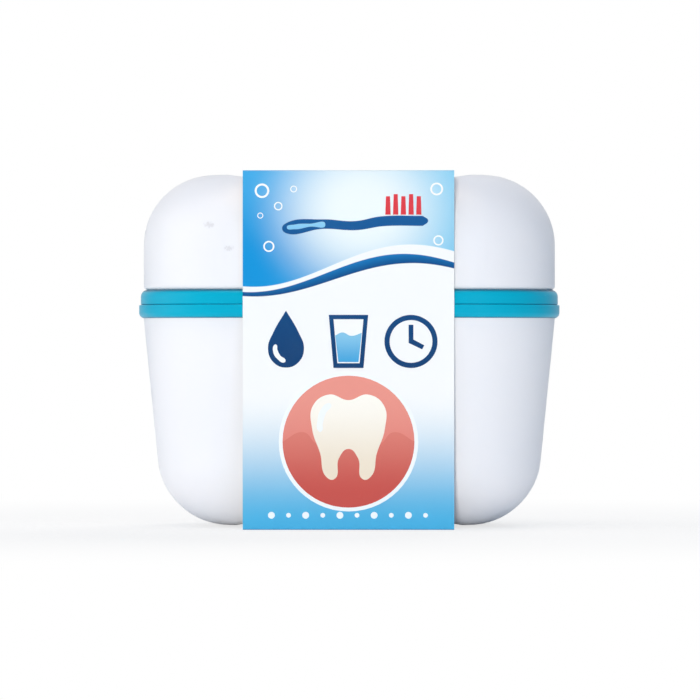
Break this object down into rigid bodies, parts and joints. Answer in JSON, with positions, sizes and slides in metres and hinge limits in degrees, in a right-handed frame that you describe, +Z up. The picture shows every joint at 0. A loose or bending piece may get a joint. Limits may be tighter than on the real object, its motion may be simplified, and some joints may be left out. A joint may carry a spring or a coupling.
{
  "type": "denture case",
  "caption": "Hinged case for soaking dentures: white tub and rounded lid in blue-green bands, sprung front button, strainer basket with bail handle, printed card sleeve round the middle.",
  "frame": {"origin": "centre of the whole's footprint, on the underside of the card sleeve that the case stands on", "axes": "+X to the right seen from the front, +Y to the back where the hinge is, +Z up"},
  "size_m": [0.1, 0.0808, 0.084],
  "materials": {
    "shell_white": "gloss, injection-moulded",
    "band_blue": "satin gloss",
    "button_blue": "satin gloss",
    "keeper_blue": "satin",
    "seal_rubber": "soft, matt",
    "steel": "drawn wire",
    "basket_blue": "satin",
    "card_print": "coated, printed outside, white inside"
  },
  "bodies": {
    "tub": {"tub_shell": "shell_white", "tub_rim_ring": "band_blue", "rim_seal": "seal_rubber", "button_keeper": "keeper_blue", "button_spring_left": "steel", "button_spring_right": "steel", "hinge_pin": "steel"},
    "lid": {"lid_shell": "shell_white", "lid_rim_ring": "band_blue"},
    "button": {"release_button": "button_blue"},
    "basket_body": {"basket": "basket_blue"},
    "bail": {"basket_handle": "band_blue"},
    "sleeve_base": {"sleeve_lower": "card_print"},
    "sleeve_top": {"sleeve_upper": "card_print"}
  },
  "joints": [
    {"name": "lid_hinge", "type": "hinge", "parent": "tub", "child": "lid", "pos_m": [0, 0.03805, 0.0527], "axis": [-1, 0, 0], "range_deg": [0, 110]},
    {"name": "button_press", "type": "slide", "parent": "tub", "child": "button", "axis": [0, 1, 0], "range_m": [0, 0.0012], "stiffness_N_per_m": 900, "springref_m": -0.002, "deforming": ["button_spring_left", "button_spring_right"]},
    {"name": "sleeve_slide", "type": "slide", "parent": "tub", "child": "sleeve_base", "axis": [1, 0, 0], "range_m": [0, 0.09]},
    {"name": "sleeve_top_slide", "type": "slide", "parent": "lid", "child": "sleeve_top", "axis": [1, 0, 0], "range_m": [0, 0.09]},
    {"name": "basket_lift", "type": "slide", "parent": "tub", "child": "basket_body", "axis": [0, 0, 1], "range_m": [0, 0.02]},
    {"name": "bail_fold", "type": "hinge", "parent": "basket_body", "child": "bail", "pos_m": [0, -0.00085, 0.0486], "axis": [-1, 0, 0], "range_deg": [0, 180]}
  ],
  "couplings": [
    {"joint": "sleeve_top_slide", "follows": "sleeve_slide", "ratio": 1}
  ]
}
